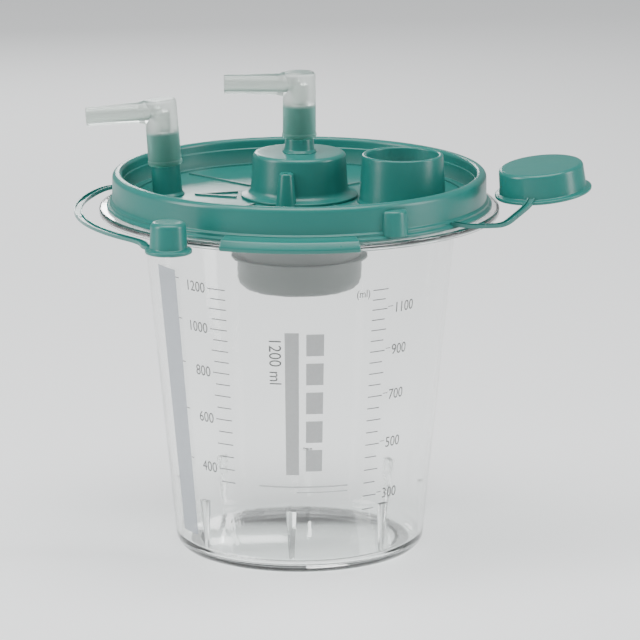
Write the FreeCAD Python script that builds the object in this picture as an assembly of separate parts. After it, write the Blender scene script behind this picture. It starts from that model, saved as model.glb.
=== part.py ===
import FreeCAD, Part
import math
import os

# Suction canister: a clear graduated cup with a push-on lid. Millimetres, +Z up.
# The origin is the centre of the cup's base, on its axis. The patient port is on
# the -X side of the lid, the pour spout on the +X side, and the lift tab faces -Y.

# --- driving dimensions ---------------------------------------------------------
# clear cup
BASE_RADIUS = 52.4
TOP_RADIUS = 66.4
CONE_TOP = 143.4
WALL = 2.0
FLOOR_THICKNESS = 3.8
BASE_CORNER = 6.0
PUSH_UP_RADIUS = 41.0
PUSH_UP_HEIGHT = 1.2
FLANGE_RADIUS = 84.5
FLANGE_BOTTOM = 145.6
FLANGE_TOP = 147.6
UPSTAND_INNER = 75.9
UPSTAND_OUTER = 76.9
UPSTAND_TOP = 158.0
RIB_COUNT = 8
RIB_FIRST = -3.5
RIB_TOP_WIDTH = 4.2
RIB_BOTTOM_WIDTH = 2.2
RIB_TOP = 28.0
RIB_BOTTOM = 7.0
RIB_LEDGE = 2.4
RIB_TOE = 0.6

# lid
LID_TOP = 162.3
LID_FLOOR_TOP = 151.5
LID_FLOOR_BOTTOM = 149.5
RIM_OUTER = 79.0
RIM_INNER = 74.3
CHANNEL_INNER = 75.6
CHANNEL_OUTER = 77.2
CHANNEL_TOP = 158.6
BEAD_LOW = 81.3
BEAD_HIGH = 80.0
PLUG_OUTER = 63.5
PLUG_INNER = 61.9
PLUG_BOTTOM = 143.2
LINE_WIDTH = 1.4
LINE_HEIGHT = 0.7
LINE_START = 27.0
LINE_END = 66.0
LINE_AZIMUTHS = (46.0, 136.0, 226.0, 302.0)
LINE_APEX = 44.0
LINE_APEX_AZIMUTH = 178.0
LINE_APEX_SPREAD = 12.0
LINE_RING = 71.0
BOSS_RADIUS = 77.4
BOSS_AZIMUTH = -60.2
BOSS_FOOT = 6.4
BOSS_TIP = 5.6
BOSS_HEIGHT = 10.6
GRIP_START = -112.0
GRIP_END = -73.0
GRIP_OUTER = 86.6
GRIP_INNER = 84.9
GRIP_BOTTOM = 144.7

# turret, nipples and elbows
TURRET_RADIUS = 19.5
TURRET_FLARE = 24.7
TURRET_TOP = 170.4
TURRET_WALL = 2.0
POST_X = -5.4
POST_Y = -22.2
POST_FOOT_RADIUS = 4.3
POST_TIP_RADIUS = 2.9
POST_HEIGHT = 14.0
POST_HOLE = 0.9
POST_HOLE_DEPTH = 8.0
NIPPLE_RADIUS = 6.2
NIPPLE_NECK = 5.2
NIPPLE_BORE = 3.8
VACUUM_SHOULDER = 176.5
ELBOW_FIT = 0.06
ELBOW_TOP_RADIUS = 6.8
ELBOW_MOUTH_RADIUS = 7.1
ELBOW_HEIGHT = 27.9
ARM_DROP = 5.2
ARM_REACH = 31.6
ARM_ROOT = 4.6
ARM_LAND = 4.05
ARM_LAND_LENGTH = 8.0
ARM_BORE = 2.7
NECK_HEIGHT = 13.6
PATIENT_X = -55.7
PATIENT_Y = 3.0
PATIENT_LEAN = 4.2
PATIENT_STEM = 13.0

# pour spout
SPOUT_X = 43.3
SPOUT_Y = -12.0
SPOUT_TOP = 171.7
SPOUT_TOP_RADIUS = 17.0
SPOUT_BASE_RADIUS = 18.2
SPOUT_BORE = 15.2

# shut-off valve under the lid
HOUSING_RADIUS = 26.5
HOUSING_WALL = 1.6
HOUSING_JOINT = 127.5
HOUSING_FLANGE = 28.8
HOUSING_BOTTOM = 113.0
SEAT_TOP = 142.0
SEAT_HOLE = 5.5
FLOAT_RADIUS = 10.5
FLOAT_BOTTOM = 117.2
FLOAT_HEIGHT = 14.0
CAGE_INNER = 11.2
CAGE_OUTER = 12.8
CAGE_TOP = 134.0

# spout cap and its two-part strap
CAP_CENTRE = FreeCAD.Vector(102.0, -20.2, 157.0)
CAP_RADIUS = 18.1
CAP_BORE = 17.3
CAP_FLANGE = 20.3
CAP_HEIGHT = 11.9
CAP_ROLL = -6.3
CAP_PITCH = 3.5
STRAP_ROOT = FreeCAD.Vector(65.9, -50.3, 149.6)
STRAP_KNEE = FreeCAD.Vector(70.5, -50.6, 148.9)
STRAP_BEND = FreeCAD.Vector(84.7, -47.0, 148.6)
STRAP_END = FreeCAD.Vector(95.1, -40.3, 155.8)
STRAP_WIDTH = 3.2
STRAP_THICK = 1.5
BEAD_RADIUS = 0.9
BEAD_LENGTH = 2.0
SWING_AXIS = FreeCAD.Vector(-0.36265, -0.93019, -0.05688)
BEND_AXIS = FreeCAD.Vector(0.86157, 0.15071, 0.48474)
TURN_AXIS = FreeCAD.Vector(0.66808, 0.74392, 0.01602)
STRAP_GAP = 1.9
EAR_THICK = 1.1
EAR_LEAD = 0.4
LUG_GAP = 1.5

# port cap and its loop strap
PORT_CAP = FreeCAD.Vector(-52.7, -80.7, 144.2)
PORT_CAP_RADIUS = 7.6
PORT_CAP_BORE = 6.3
PORT_CAP_FLANGE = 9.6
PORT_CAP_HEIGHT = 12.8
LOOP_ROOT = FreeCAD.Vector(-77.5, 29.5, 149.6)
LOOP_KNEE = FreeCAD.Vector(-84.5, 28.0, 148.9)
LOOP_RADIUS = 94.0
LOOP_LEVEL = 146.2
LOOP_START = 168.5
LOOP_END = 227.5
LOOP_TIP = FreeCAD.Vector(-62.4, -75.6, 145.4)
LOOP_LIFT_AXIS = FreeCAD.Vector(-0.9346, 0.3557, 0)
CAP_TILT_AXIS = FreeCAD.Vector(-0.466, -0.885, 0)

UP = FreeCAD.Vector(0, 0, 1)
Y_AXIS = FreeCAD.Vector(0, 1, 0)
X_AXIS = FreeCAD.Vector(1, 0, 0)
PORT_BASE = FreeCAD.Vector(PATIENT_X, PATIENT_Y, LID_FLOOR_TOP)


# --- small builders -------------------------------------------------------------
def turned(*profile):
    """Solid of revolution about Z from (radius, height) corners."""
    points = [FreeCAD.Vector(r, 0, z) for r, z in profile]
    face = Part.Face(Part.makePolygon(points + points[:1]))
    return face.revolve(FreeCAD.Vector(0, 0, 0), UP, 360)


def tube(outer, inner, bottom, top):
    return turned((inner, bottom), (outer, bottom), (outer, top), (inner, top))


def disc(radius, bottom, top, x=0.0, y=0.0):
    return Part.makeCylinder(radius, top - bottom, FreeCAD.Vector(x, y, bottom))


def sector(outer, inner, bottom, top, start, end):
    """Part of a ring between two azimuths in degrees."""
    points = [FreeCAD.Vector(r, 0, z) for r, z in
              ((inner, bottom), (outer, bottom), (outer, top), (inner, top))]
    face = Part.Face(Part.makePolygon(points + points[:1]))
    piece = face.revolve(FreeCAD.Vector(0, 0, 0), UP, end - start)
    piece.rotate(FreeCAD.Vector(0, 0, 0), UP, start)
    return piece


def rounded(shape, radius, level):
    """Fillet the level edges of a shape at one height."""
    edges = [e for e in shape.Edges
             if abs(e.BoundBox.ZMin - level) < 1e-3 and abs(e.BoundBox.ZMax - level) < 1e-3]
    return shape.makeFillet(radius, edges)


def bar(start, end, width, thick, lead=0.0, tail=0.0):
    """Flat strap between two points, its ends held back by lead and tail."""
    run = end - start
    length = run.Length - lead - tail
    box = Part.makeBox(length, width, thick, FreeCAD.Vector(lead, -width / 2, -thick / 2))
    across = UP.cross(run).normalize()
    normal = run.cross(across).normalize()
    turn = FreeCAD.Rotation(run.normalize(), across, normal, "XZY")
    box.Placement = FreeCAD.Placement(start, turn)
    return box


def bead(centre, axis):
    """Round film-hinge bead along the axis that the strap flexes about."""
    way = FreeCAD.Vector(axis).normalize()
    return Part.makeCylinder(BEAD_RADIUS, BEAD_LENGTH, centre - way * (BEAD_LENGTH / 2), way)


def on_circle(radius, azimuth, level):
    angle = math.radians(azimuth)
    return FreeCAD.Vector(radius * math.cos(angle), radius * math.sin(angle), level)


def lean_port(shape):
    """Tip a piece built upright on the patient port's base outwards, to -X."""
    shape.translate(PORT_BASE)
    shape.rotate(PORT_BASE, Y_AXIS, -PATIENT_LEAN)
    return shape


def tip_cap(shape):
    """Carry a piece built upright at the origin to where the spout cap hangs."""
    origin = FreeCAD.Vector(0, 0, 0)
    shape.rotate(origin, Y_AXIS, CAP_ROLL)
    shape.rotate(origin, X_AXIS, CAP_PITCH)
    shape.translate(CAP_CENTRE)
    return shape


# --- clear cup --------------------------------------------------------------------
def canister_shell():
    lean = (TOP_RADIUS - BASE_RADIUS) / CONE_TOP
    floor_radius = BASE_RADIUS + lean * FLOOR_THICKNESS - WALL
    outside = turned(
        (0, PUSH_UP_HEIGHT),
        (PUSH_UP_RADIUS, PUSH_UP_HEIGHT),
        (PUSH_UP_RADIUS + 1.5, 0),
        (BASE_RADIUS, 0),
        (TOP_RADIUS, CONE_TOP),
        (TOP_RADIUS + 2.2, FLANGE_BOTTOM),
        (FLANGE_RADIUS - 1.2, FLANGE_BOTTOM),
        (FLANGE_RADIUS - 1.2, FLANGE_BOTTOM - 1.0),
        (FLANGE_RADIUS, FLANGE_BOTTOM - 1.0),
        (FLANGE_RADIUS, FLANGE_TOP),
        (UPSTAND_OUTER, FLANGE_TOP),
        (UPSTAND_OUTER, UPSTAND_TOP),
        (UPSTAND_INNER, UPSTAND_TOP),
        (UPSTAND_INNER, FLANGE_TOP),
        (0, FLANGE_TOP),
    )
    corner = [e for e in outside.Edges
              if e.BoundBox.ZMax < 1e-3 and abs(e.BoundBox.XMax - BASE_RADIUS) < 1e-3]
    outside = outside.makeFillet(BASE_CORNER, corner)
    cavity = turned(
        (0, FLOOR_THICKNESS),
        (floor_radius, FLOOR_THICKNESS),
        (TOP_RADIUS - WALL, CONE_TOP),
        (TOP_RADIUS, FLANGE_TOP + 1.0),
        (0, FLANGE_TOP + 1.0),
    )
    cavity = rounded(cavity, BASE_CORNER - WALL, FLOOR_THICKNESS)
    return outside.cut(cavity)


def inner_radius(level):
    return BASE_RADIUS - WALL + (TOP_RADIUS - BASE_RADIUS) * level / CONE_TOP


def rib_section(level, width, depth):
    """Level outline of a rib at +X, from inside the wall to its inner face."""
    wall = inner_radius(level)
    corners = [FreeCAD.Vector(r, y, level) for r, y in
               ((wall + WALL / 2, -width / 2), (wall - depth, -width / 2),
                (wall - depth, width / 2), (wall + WALL / 2, width / 2))]
    return Part.makePolygon(corners + corners[:1])


def stacking_ribs():
    """Wedges inside the wall, widest at the top, that keep nested cups from jamming."""
    shell = canister_shell()
    ribs = []
    for index in range(RIB_COUNT):
        foot = rib_section(RIB_BOTTOM, RIB_BOTTOM_WIDTH, RIB_TOE)
        head = rib_section(RIB_TOP, RIB_TOP_WIDTH, RIB_LEDGE)
        rib = Part.makeLoft([foot, head], True, True)
        rib.rotate(FreeCAD.Vector(0, 0, 0), UP, RIB_FIRST + index * 360.0 / RIB_COUNT)
        ribs.append(rib.cut(shell))
    return Part.makeCompound(ribs)


# --- lid moulding -----------------------------------------------------------------
def lid_rim():
    rim = turned(
        (RIM_INNER, LID_FLOOR_BOTTOM),
        (CHANNEL_INNER, LID_FLOOR_BOTTOM),
        (CHANNEL_INNER, CHANNEL_TOP),
        (CHANNEL_OUTER, CHANNEL_TOP),
        (CHANNEL_OUTER, FLANGE_TOP),
        (BEAD_LOW, FLANGE_TOP),
        (BEAD_LOW, FLANGE_TOP + 1.2),
        (BEAD_HIGH, FLANGE_TOP + 1.7),
        (BEAD_HIGH, FLANGE_TOP + 2.9),
        (RIM_OUTER, FLANGE_TOP + 3.5),
        (RIM_OUTER - 0.4, LID_TOP - 3.0),
        (RIM_OUTER, LID_TOP - 2.4),
        (RIM_OUTER, LID_TOP),
        (RIM_INNER, LID_TOP),
    )
    return rounded(rim, 1.6, LID_TOP)


def lid_floor():
    floor = disc(RIM_INNER, LID_FLOOR_BOTTOM, LID_FLOOR_TOP)
    plug = tube(PLUG_OUTER, PLUG_INNER, PLUG_BOTTOM, LID_FLOOR_BOTTOM)
    plate = floor.fuse(plug)
    plate = plate.cut(disc(TURRET_RADIUS - TURRET_WALL, LID_FLOOR_BOTTOM, LID_FLOOR_TOP))
    plate = plate.cut(disc(SPOUT_BORE, LID_FLOOR_BOTTOM, LID_FLOOR_TOP, SPOUT_X, SPOUT_Y))
    return plate.cut(disc(NIPPLE_BORE, LID_FLOOR_BOTTOM, LID_FLOOR_TOP, PATIENT_X, PATIENT_Y))


def floor_ribs():
    """Low moulded lines that stiffen the floor between the ports."""
    middle = FreeCAD.Vector(0, 0, LID_FLOOR_TOP + LINE_HEIGHT / 2)
    runs = [(on_circle(LINE_START, azimuth, 0), on_circle(LINE_END, azimuth, 0)) for azimuth in LINE_AZIMUTHS]
    apex = on_circle(LINE_APEX, LINE_APEX_AZIMUTH, 0)
    for side in (-LINE_APEX_SPREAD, LINE_APEX_SPREAD):
        runs.append((on_circle(LINE_START, LINE_APEX_AZIMUTH + side, 0), apex))
    lines = [bar(start + middle, end + middle, LINE_WIDTH, LINE_HEIGHT) for start, end in runs]
    ring = tube(LINE_RING, LINE_RING - LINE_WIDTH, LID_FLOOR_TOP, LID_FLOOR_TOP + LINE_HEIGHT)
    return Part.makeCompound(lines[0].fuse(lines[1:]).fuse(ring).removeSplitter().Solids)


def lift_tab():
    """Finger tab at the front that reaches over the cup's flange."""
    top = FLANGE_TOP + 1.9
    shelf = sector(GRIP_OUTER, BEAD_LOW, FLANGE_TOP + 0.3, top, GRIP_START, GRIP_END)
    lip = sector(GRIP_OUTER, GRIP_INNER, GRIP_BOTTOM, top, GRIP_START, GRIP_END)
    return shelf.fuse(lip).removeSplitter().cut(lid_rim())


def skirt_boss():
    """Half-round peg on the outside of the skirt."""
    foot = on_circle(BOSS_RADIUS, BOSS_AZIMUTH, FLANGE_TOP + 1.3)
    peg = Part.makeCone(BOSS_FOOT, BOSS_TIP, BOSS_HEIGHT, foot)
    return peg.cut(disc(RIM_OUTER, FLANGE_TOP, LID_TOP)).cut(lid_rim()).Solids[0]


def strap_lug(root):
    """Short stub on the skirt where a strap is moulded on."""
    azimuth = math.degrees(math.atan2(root.y, root.x))
    reach = math.hypot(root.x, root.y) - LUG_GAP
    stub = sector(reach, RIM_OUTER - 0.5,
                  root.z - STRAP_THICK / 2, root.z + STRAP_THICK / 2, azimuth - 1.2, azimuth + 1.2)
    return stub.cut(lid_rim()).Solids[-1]


# --- vacuum side --------------------------------------------------------------------
def turret_outline(inner):
    """Corners of the turret's flared outside, from its foot to its top."""
    return (
        (inner, LID_FLOOR_TOP),
        (TURRET_FLARE, LID_FLOOR_TOP),
        (TURRET_FLARE, LID_FLOOR_TOP + 1.0),
        (TURRET_RADIUS + 1.6, LID_FLOOR_TOP + 2.2),
        (TURRET_RADIUS + 0.4, LID_FLOOR_TOP + 4.6),
        (TURRET_RADIUS, TURRET_TOP),
    )


def vacuum_turret():
    inside = TURRET_RADIUS - TURRET_WALL
    turret = turned(
        *turret_outline(inside),
        (NIPPLE_BORE, TURRET_TOP),
        (NIPPLE_BORE, TURRET_TOP - TURRET_WALL),
        (inside, TURRET_TOP - TURRET_WALL),
    )
    edge = [e for e in turret.Edges
            if abs(e.BoundBox.ZMin - TURRET_TOP) < 1e-3 and abs(e.BoundBox.XMax - TURRET_RADIUS) < 1e-3]
    return turret.makeFillet(1.6, edge)


def stepped_nipple(shoulder, neck_top, foot):
    """Tapered nipple: a broad stem with a shoulder that the elbow's mouth rests on."""
    return turned(
        (NIPPLE_BORE, foot),
        (NIPPLE_RADIUS, foot),
        (NIPPLE_RADIUS - 0.2, shoulder),
        (NIPPLE_NECK, shoulder),
        (NIPPLE_NECK, neck_top - 0.8),
        (NIPPLE_NECK - 0.8, neck_top),
        (NIPPLE_BORE, neck_top),
    )


def vacuum_nipple():
    return stepped_nipple(VACUUM_SHOULDER, VACUUM_SHOULDER + NECK_HEIGHT, TURRET_TOP)


def turret_post():
    """Tapered pressure-tap peg that leans on the front of the turret."""
    foot = FreeCAD.Vector(POST_X, POST_Y, LID_FLOOR_TOP)
    post = Part.makeCone(POST_FOOT_RADIUS, POST_TIP_RADIUS, POST_HEIGHT, foot)
    tip = LID_FLOOR_TOP + POST_HEIGHT
    hole = disc(POST_HOLE, tip - POST_HOLE_DEPTH, tip + 1.0, POST_X, POST_Y)
    block = turned(*turret_outline(0), (0, TURRET_TOP))
    return post.cut(hole).cut(block).Solids[0]


def aerosol_filter():
    return disc(TURRET_RADIUS - TURRET_WALL - 0.5, LID_FLOOR_TOP + 5.0, LID_FLOOR_TOP + 13.0)


# --- patient side and pour spout ------------------------------------------------------
def patient_nipple():
    shape = stepped_nipple(PATIENT_STEM, PATIENT_STEM + NECK_HEIGHT, -1.5)
    skirt = turned((NIPPLE_BORE, -1.5), (7.6, -1.5), (7.6, 0.8), (NIPPLE_RADIUS, 2.6), (NIPPLE_BORE, 2.6))
    stem = lean_port(shape.fuse(skirt).removeSplitter())
    return stem.cut(disc(RIM_INNER, LID_FLOOR_BOTTOM - 2.0, LID_FLOOR_TOP))


def pour_spout():
    spout = turned(
        (SPOUT_BORE, LID_FLOOR_TOP),
        (SPOUT_BASE_RADIUS + 0.8, LID_FLOOR_TOP),
        (SPOUT_BASE_RADIUS, LID_FLOOR_TOP + 1.2),
        (SPOUT_TOP_RADIUS, SPOUT_TOP),
        (SPOUT_BORE, SPOUT_TOP),
    )
    edge = [e for e in spout.Edges
            if abs(e.BoundBox.ZMin - SPOUT_TOP) < 1e-3 and e.BoundBox.XMax > SPOUT_TOP_RADIUS - 0.1]
    spout = spout.makeFillet(0.6, edge)
    spout.translate(FreeCAD.Vector(SPOUT_X, SPOUT_Y, 0))
    return spout


# --- swivelling elbows --------------------------------------------------------------
def elbow():
    """Elbow built with its mouth at Z = 0 and its arm along -X."""
    socket = NIPPLE_NECK + ELBOW_FIT
    body = turned(
        (0, 0),
        (ELBOW_MOUTH_RADIUS + 0.3, 0),
        (ELBOW_MOUTH_RADIUS + 0.3, 1.6),
        (ELBOW_MOUTH_RADIUS, 2.0),
        (ELBOW_TOP_RADIUS, ELBOW_HEIGHT - 0.5),
        (ELBOW_TOP_RADIUS - 0.5, ELBOW_HEIGHT),
        (0, ELBOW_HEIGHT),
    )
    arm_level = ELBOW_HEIGHT - ARM_DROP
    arm = turned(
        (0, 0),
        (ARM_ROOT, 0),
        (ARM_LAND, ARM_REACH - ARM_LAND_LENGTH),
        (ARM_LAND, ARM_REACH),
        (0, ARM_REACH),
    )
    passage = disc(ARM_BORE, 0, ARM_REACH + 1.0)
    for piece in (arm, passage):
        piece.rotate(FreeCAD.Vector(0, 0, 0), Y_AXIS, -90)
        piece.translate(FreeCAD.Vector(0, 0, arm_level))
    well = disc(socket, -1.0, NECK_HEIGHT + 0.5)
    rise = disc(ARM_BORE + 0.4, NECK_HEIGHT, arm_level)
    return body.fuse(arm).cut(passage).cut(well).cut(rise)


def vacuum_elbow():
    shape = elbow()
    shape.translate(FreeCAD.Vector(0, 0, VACUUM_SHOULDER))
    return shape


def patient_elbow():
    shape = elbow()
    shape.translate(FreeCAD.Vector(0, 0, PATIENT_STEM))
    return lean_port(shape)


# --- shut-off valve ---------------------------------------------------------------------
def housing_sleeve():
    return tube(HOUSING_RADIUS, HOUSING_RADIUS - HOUSING_WALL, HOUSING_JOINT, LID_FLOOR_BOTTOM)


def housing_cup():
    inside = HOUSING_RADIUS - HOUSING_WALL
    floor = HOUSING_BOTTOM + HOUSING_WALL
    block = turned(
        (0, HOUSING_BOTTOM),
        (HOUSING_RADIUS - 0.4, HOUSING_BOTTOM),
        (HOUSING_RADIUS - 0.2, HOUSING_JOINT - 1.2),
        (HOUSING_FLANGE, HOUSING_JOINT - 1.2),
        (HOUSING_FLANGE, HOUSING_JOINT),
        (0, HOUSING_JOINT),
    )
    block = rounded(block, 5.0, HOUSING_BOTTOM)
    cup = block.cut(disc(inside - 0.4, floor, HOUSING_JOINT))
    cup = cup.cut(disc(4.0, HOUSING_BOTTOM - 1.0, floor + 1.0))
    for index in range(6):
        spot = on_circle(18.0, index * 60.0, 0)
        cup = cup.cut(disc(2.6, HOUSING_BOTTOM - 1.0, floor + 1.0, spot.x, spot.y))
    return cup


def float_cage():
    """Slotted guide that the float rides in, standing on the housing's floor."""
    floor = HOUSING_BOTTOM + HOUSING_WALL
    cage = tube(CAGE_OUTER, CAGE_INNER, floor, CAGE_TOP)
    ledge = tube(CAGE_INNER, 5.0, floor, floor + 2.4)
    cage = cage.fuse(ledge)
    for index in range(2):
        slot = Part.makeBox(4 * CAGE_OUTER, 9.0, 13.0, FreeCAD.Vector(-2 * CAGE_OUTER, -4.5, floor + 4.4))
        slot.rotate(FreeCAD.Vector(0, 0, 0), UP, index * 90.0)
        cage = cage.cut(slot)
    return cage


def seat_plate():
    return tube(HOUSING_RADIUS - HOUSING_WALL, SEAT_HOLE + 1.5, SEAT_TOP, SEAT_TOP + 2.0)


def valve_seat():
    return tube(13.0, SEAT_HOLE, SEAT_TOP - 1.8, SEAT_TOP)


def shutoff_float():
    top = FLOAT_BOTTOM + FLOAT_HEIGHT
    body = turned(
        (0, FLOAT_BOTTOM + 8.0),
        (FLOAT_RADIUS - 1.2, FLOAT_BOTTOM + 8.0),
        (FLOAT_RADIUS - 1.2, FLOAT_BOTTOM),
        (FLOAT_RADIUS, FLOAT_BOTTOM),
        (FLOAT_RADIUS, top - 2.0),
        (FLOAT_RADIUS - 4.0, top),
        (0, top),
    )
    return body


# --- spout cap and strap -------------------------------------------------------------------
def cap_ear(tip, centre, reach):
    """Short tongue from a hinge bead to the cap's flange, stopping outside its bore."""
    inward = FreeCAD.Vector(centre.x - tip.x, centre.y - tip.y, 0)
    end = tip + inward * (1.0 - reach / inward.Length)
    return bar(tip, end, STRAP_WIDTH - 0.8, EAR_THICK, EAR_LEAD)


def spout_cap():
    shell = turned(
        (CAP_BORE, 0),
        (CAP_FLANGE, 0),
        (CAP_FLANGE, 1.3),
        (CAP_RADIUS, 1.9),
        (CAP_RADIUS - 0.5, CAP_HEIGHT),
        (0, CAP_HEIGHT),
        (0, CAP_HEIGHT - 1.5),
        (CAP_BORE - 0.5, CAP_HEIGHT - 1.5),
    )
    edge = [e for e in shell.Edges
            if abs(e.BoundBox.ZMin - CAP_HEIGHT) < 1e-3 and abs(e.BoundBox.ZMax - CAP_HEIGHT) < 1e-3]
    cap = tip_cap(shell.makeFillet(1.3, edge))
    ear = cap_ear(STRAP_END, CAP_CENTRE, CAP_BORE + 1.0)
    return cap.fuse([ear, bead(STRAP_END, TURN_AXIS)]).removeSplitter()


def spout_strap_inner():
    """First stretch of the strap, with its hinge bead at the lid's skirt."""
    pieces = [bar(STRAP_KNEE, STRAP_BEND, STRAP_WIDTH, STRAP_THICK, 0.0, STRAP_GAP),
              bead(STRAP_ROOT, SWING_AXIS),
              Part.makeCylinder(STRAP_WIDTH / 2, STRAP_THICK, STRAP_KNEE - UP * (STRAP_THICK / 2))]
    return bar(STRAP_ROOT, STRAP_KNEE, STRAP_WIDTH, STRAP_THICK, 0.2).fuse(pieces).removeSplitter()


def spout_strap_outer():
    """Second stretch, rising to the cap, with its hinge bead at the bend."""
    strap = bar(STRAP_BEND, STRAP_END, STRAP_WIDTH, STRAP_THICK, 0.2, STRAP_GAP)
    return strap.fuse(bead(STRAP_BEND, BEND_AXIS)).removeSplitter()


# --- port cap and loop strap ------------------------------------------------------------------
def port_cap():
    shell = turned(
        (PORT_CAP_BORE, 0),
        (PORT_CAP_FLANGE, 0),
        (PORT_CAP_FLANGE, 1.6),
        (PORT_CAP_RADIUS, 2.0),
        (PORT_CAP_RADIUS - 0.4, PORT_CAP_HEIGHT),
        (0, PORT_CAP_HEIGHT),
        (0, PORT_CAP_HEIGHT - 1.4),
        (PORT_CAP_BORE - 0.3, PORT_CAP_HEIGHT - 1.4),
    )
    shell = rounded(shell, 1.2, PORT_CAP_HEIGHT)
    shell.translate(PORT_CAP)
    ear = cap_ear(LOOP_TIP, PORT_CAP, PORT_CAP_BORE + 0.7)
    return shell.fuse([ear, bead(LOOP_TIP, CAP_TILT_AXIS)]).removeSplitter()


def port_strap():
    half = STRAP_WIDTH / 2
    first = on_circle(LOOP_RADIUS, LOOP_START, LOOP_LEVEL)
    last = on_circle(LOOP_RADIUS, LOOP_END, LOOP_LEVEL)
    low = LOOP_LEVEL - STRAP_THICK / 2
    arc = sector(LOOP_RADIUS + half, LOOP_RADIUS - half, low, low + STRAP_THICK, LOOP_START, LOOP_END)
    corners = [Part.makeCylinder(half, STRAP_THICK, point - UP * (STRAP_THICK / 2))
               for point in (LOOP_KNEE, first, last)]
    runs = [bar(LOOP_ROOT, LOOP_KNEE, STRAP_WIDTH, STRAP_THICK, 0.2),
            bar(LOOP_KNEE, first, STRAP_WIDTH, STRAP_THICK),
            bar(last, LOOP_TIP, STRAP_WIDTH, STRAP_THICK, 0.0, STRAP_GAP),
            bead(LOOP_ROOT, LOOP_LIFT_AXIS)]
    return arc.fuse(corners + runs).removeSplitter()


# --- write every node --------------------------------------------------------------------------
NODES = {
    "canister_shell": canister_shell,
    "stacking_ribs": stacking_ribs,
    "lid_rim": lid_rim,
    "lid_floor": lid_floor,
    "floor_ribs": floor_ribs,
    "lift_tab": lift_tab,
    "skirt_boss": skirt_boss,
    "vacuum_turret": vacuum_turret,
    "vacuum_nipple": vacuum_nipple,
    "turret_post": turret_post,
    "aerosol_filter": aerosol_filter,
    "patient_nipple": patient_nipple,
    "pour_spout": pour_spout,
    "vacuum_elbow": vacuum_elbow,
    "patient_elbow": patient_elbow,
    "housing_sleeve": housing_sleeve,
    "housing_cup": housing_cup,
    "float_cage": float_cage,
    "seat_plate": seat_plate,
    "valve_seat": valve_seat,
    "shutoff_float": shutoff_float,
    "spout_strap_inner": spout_strap_inner,
    "spout_strap_outer": spout_strap_outer,
    "spout_cap": spout_cap,
    "port_strap": port_strap,
    "port_cap": port_cap,
}

os.makedirs("parts", exist_ok=True)
for name, build in NODES.items():
    build().exportStep("parts/" + name + ".step")
strap_lug(STRAP_ROOT).exportStep("parts/spout_strap_lug.step")
strap_lug(LOOP_ROOT).exportStep("parts/port_strap_lug.step")
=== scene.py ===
import math

import bpy
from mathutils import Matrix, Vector


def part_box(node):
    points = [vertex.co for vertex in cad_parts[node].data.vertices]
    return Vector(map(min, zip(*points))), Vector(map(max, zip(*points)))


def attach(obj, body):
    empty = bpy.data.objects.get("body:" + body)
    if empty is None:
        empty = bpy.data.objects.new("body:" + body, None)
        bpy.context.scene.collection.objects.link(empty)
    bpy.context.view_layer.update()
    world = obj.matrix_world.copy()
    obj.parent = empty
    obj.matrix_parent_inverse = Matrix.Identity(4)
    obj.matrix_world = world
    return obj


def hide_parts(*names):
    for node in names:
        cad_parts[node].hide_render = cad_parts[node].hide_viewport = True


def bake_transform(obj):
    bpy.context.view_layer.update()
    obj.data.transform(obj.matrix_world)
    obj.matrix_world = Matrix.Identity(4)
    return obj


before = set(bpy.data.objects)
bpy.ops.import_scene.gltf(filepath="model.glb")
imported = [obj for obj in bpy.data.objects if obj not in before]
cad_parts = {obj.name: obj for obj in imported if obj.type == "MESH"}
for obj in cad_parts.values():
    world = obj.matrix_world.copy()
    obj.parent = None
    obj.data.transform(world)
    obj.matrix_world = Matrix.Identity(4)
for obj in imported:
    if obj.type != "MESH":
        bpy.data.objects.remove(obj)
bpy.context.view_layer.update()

# Studio: pale paper underfoot, a big soft light overhead and one on each side. The
# camera stands about two metres in front of the canister, a little above the lid,
# and looks down at it with a long lens.
MM = 0.001
aim_height = 97.5 * MM
camera_distance = 1912.5 * MM
camera_pitch = math.radians(13.1)
bpy.ops.object.camera_add(
    location=(8.7 * MM, -camera_distance * math.cos(camera_pitch),
              aim_height + camera_distance * math.sin(camera_pitch)),
    rotation=(math.radians(90) - camera_pitch, 0, 0))
camera = bpy.context.object
camera.data.lens = 253.1
camera.data.sensor_width = 36.0
camera.data.clip_end = 20.0
bpy.context.scene.camera = camera


lamp_target = Vector((0, 0, 0.1))


def soft_light(name, place, size, power):
    """A rectangular lamp turned to the canister, that the camera itself doesn't see."""
    bpy.ops.object.light_add(type="AREA", location=place)
    lamp = bpy.context.object
    lamp.name = name
    lamp.data.shape = "RECTANGLE"
    lamp.data.size = size[0]
    lamp.data.size_y = size[1]
    lamp.data.energy = power
    lamp.rotation_euler = (lamp_target - Vector(place)).to_track_quat("-Z", "Y").to_euler()
    lamp.visible_camera = False


soft_light("overhead", (0.0, -0.25, 1.5), (1.5, 1.0), 30)
soft_light("left_window", (-1.4, -0.45, 0.75), (0.5, 1.1), 20)
soft_light("right_fill", (1.4, -0.3, 0.6), (0.35, 1.0), 12)
soft_light("back_panel", (-0.20, 1.2, 0.46), (0.30, 0.16), 2.4)

world = bpy.data.worlds.new("studio_air")
world.use_nodes = True
world.node_tree.nodes["Background"].inputs["Color"].default_value = (0.93, 0.95, 0.96, 1)
world.node_tree.nodes["Background"].inputs["Strength"].default_value = 0.42
bpy.context.scene.world = world


def deselect():
    """Leaves nothing selected, so that the next operator acts only on its own piece."""
    bpy.ops.object.select_all(action="DESELECT")


def principled(material):
    """The shader that gives a material its look."""
    return material.node_tree.nodes["Principled BSDF"]


def paint(name, colour, roughness):
    """A new material of one plain colour."""
    material = bpy.data.materials.new(name)
    material.use_nodes = True
    shader = principled(material)
    shader.inputs["Base Color"].default_value = (*colour, 1)
    shader.inputs["Roughness"].default_value = roughness
    return material


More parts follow.
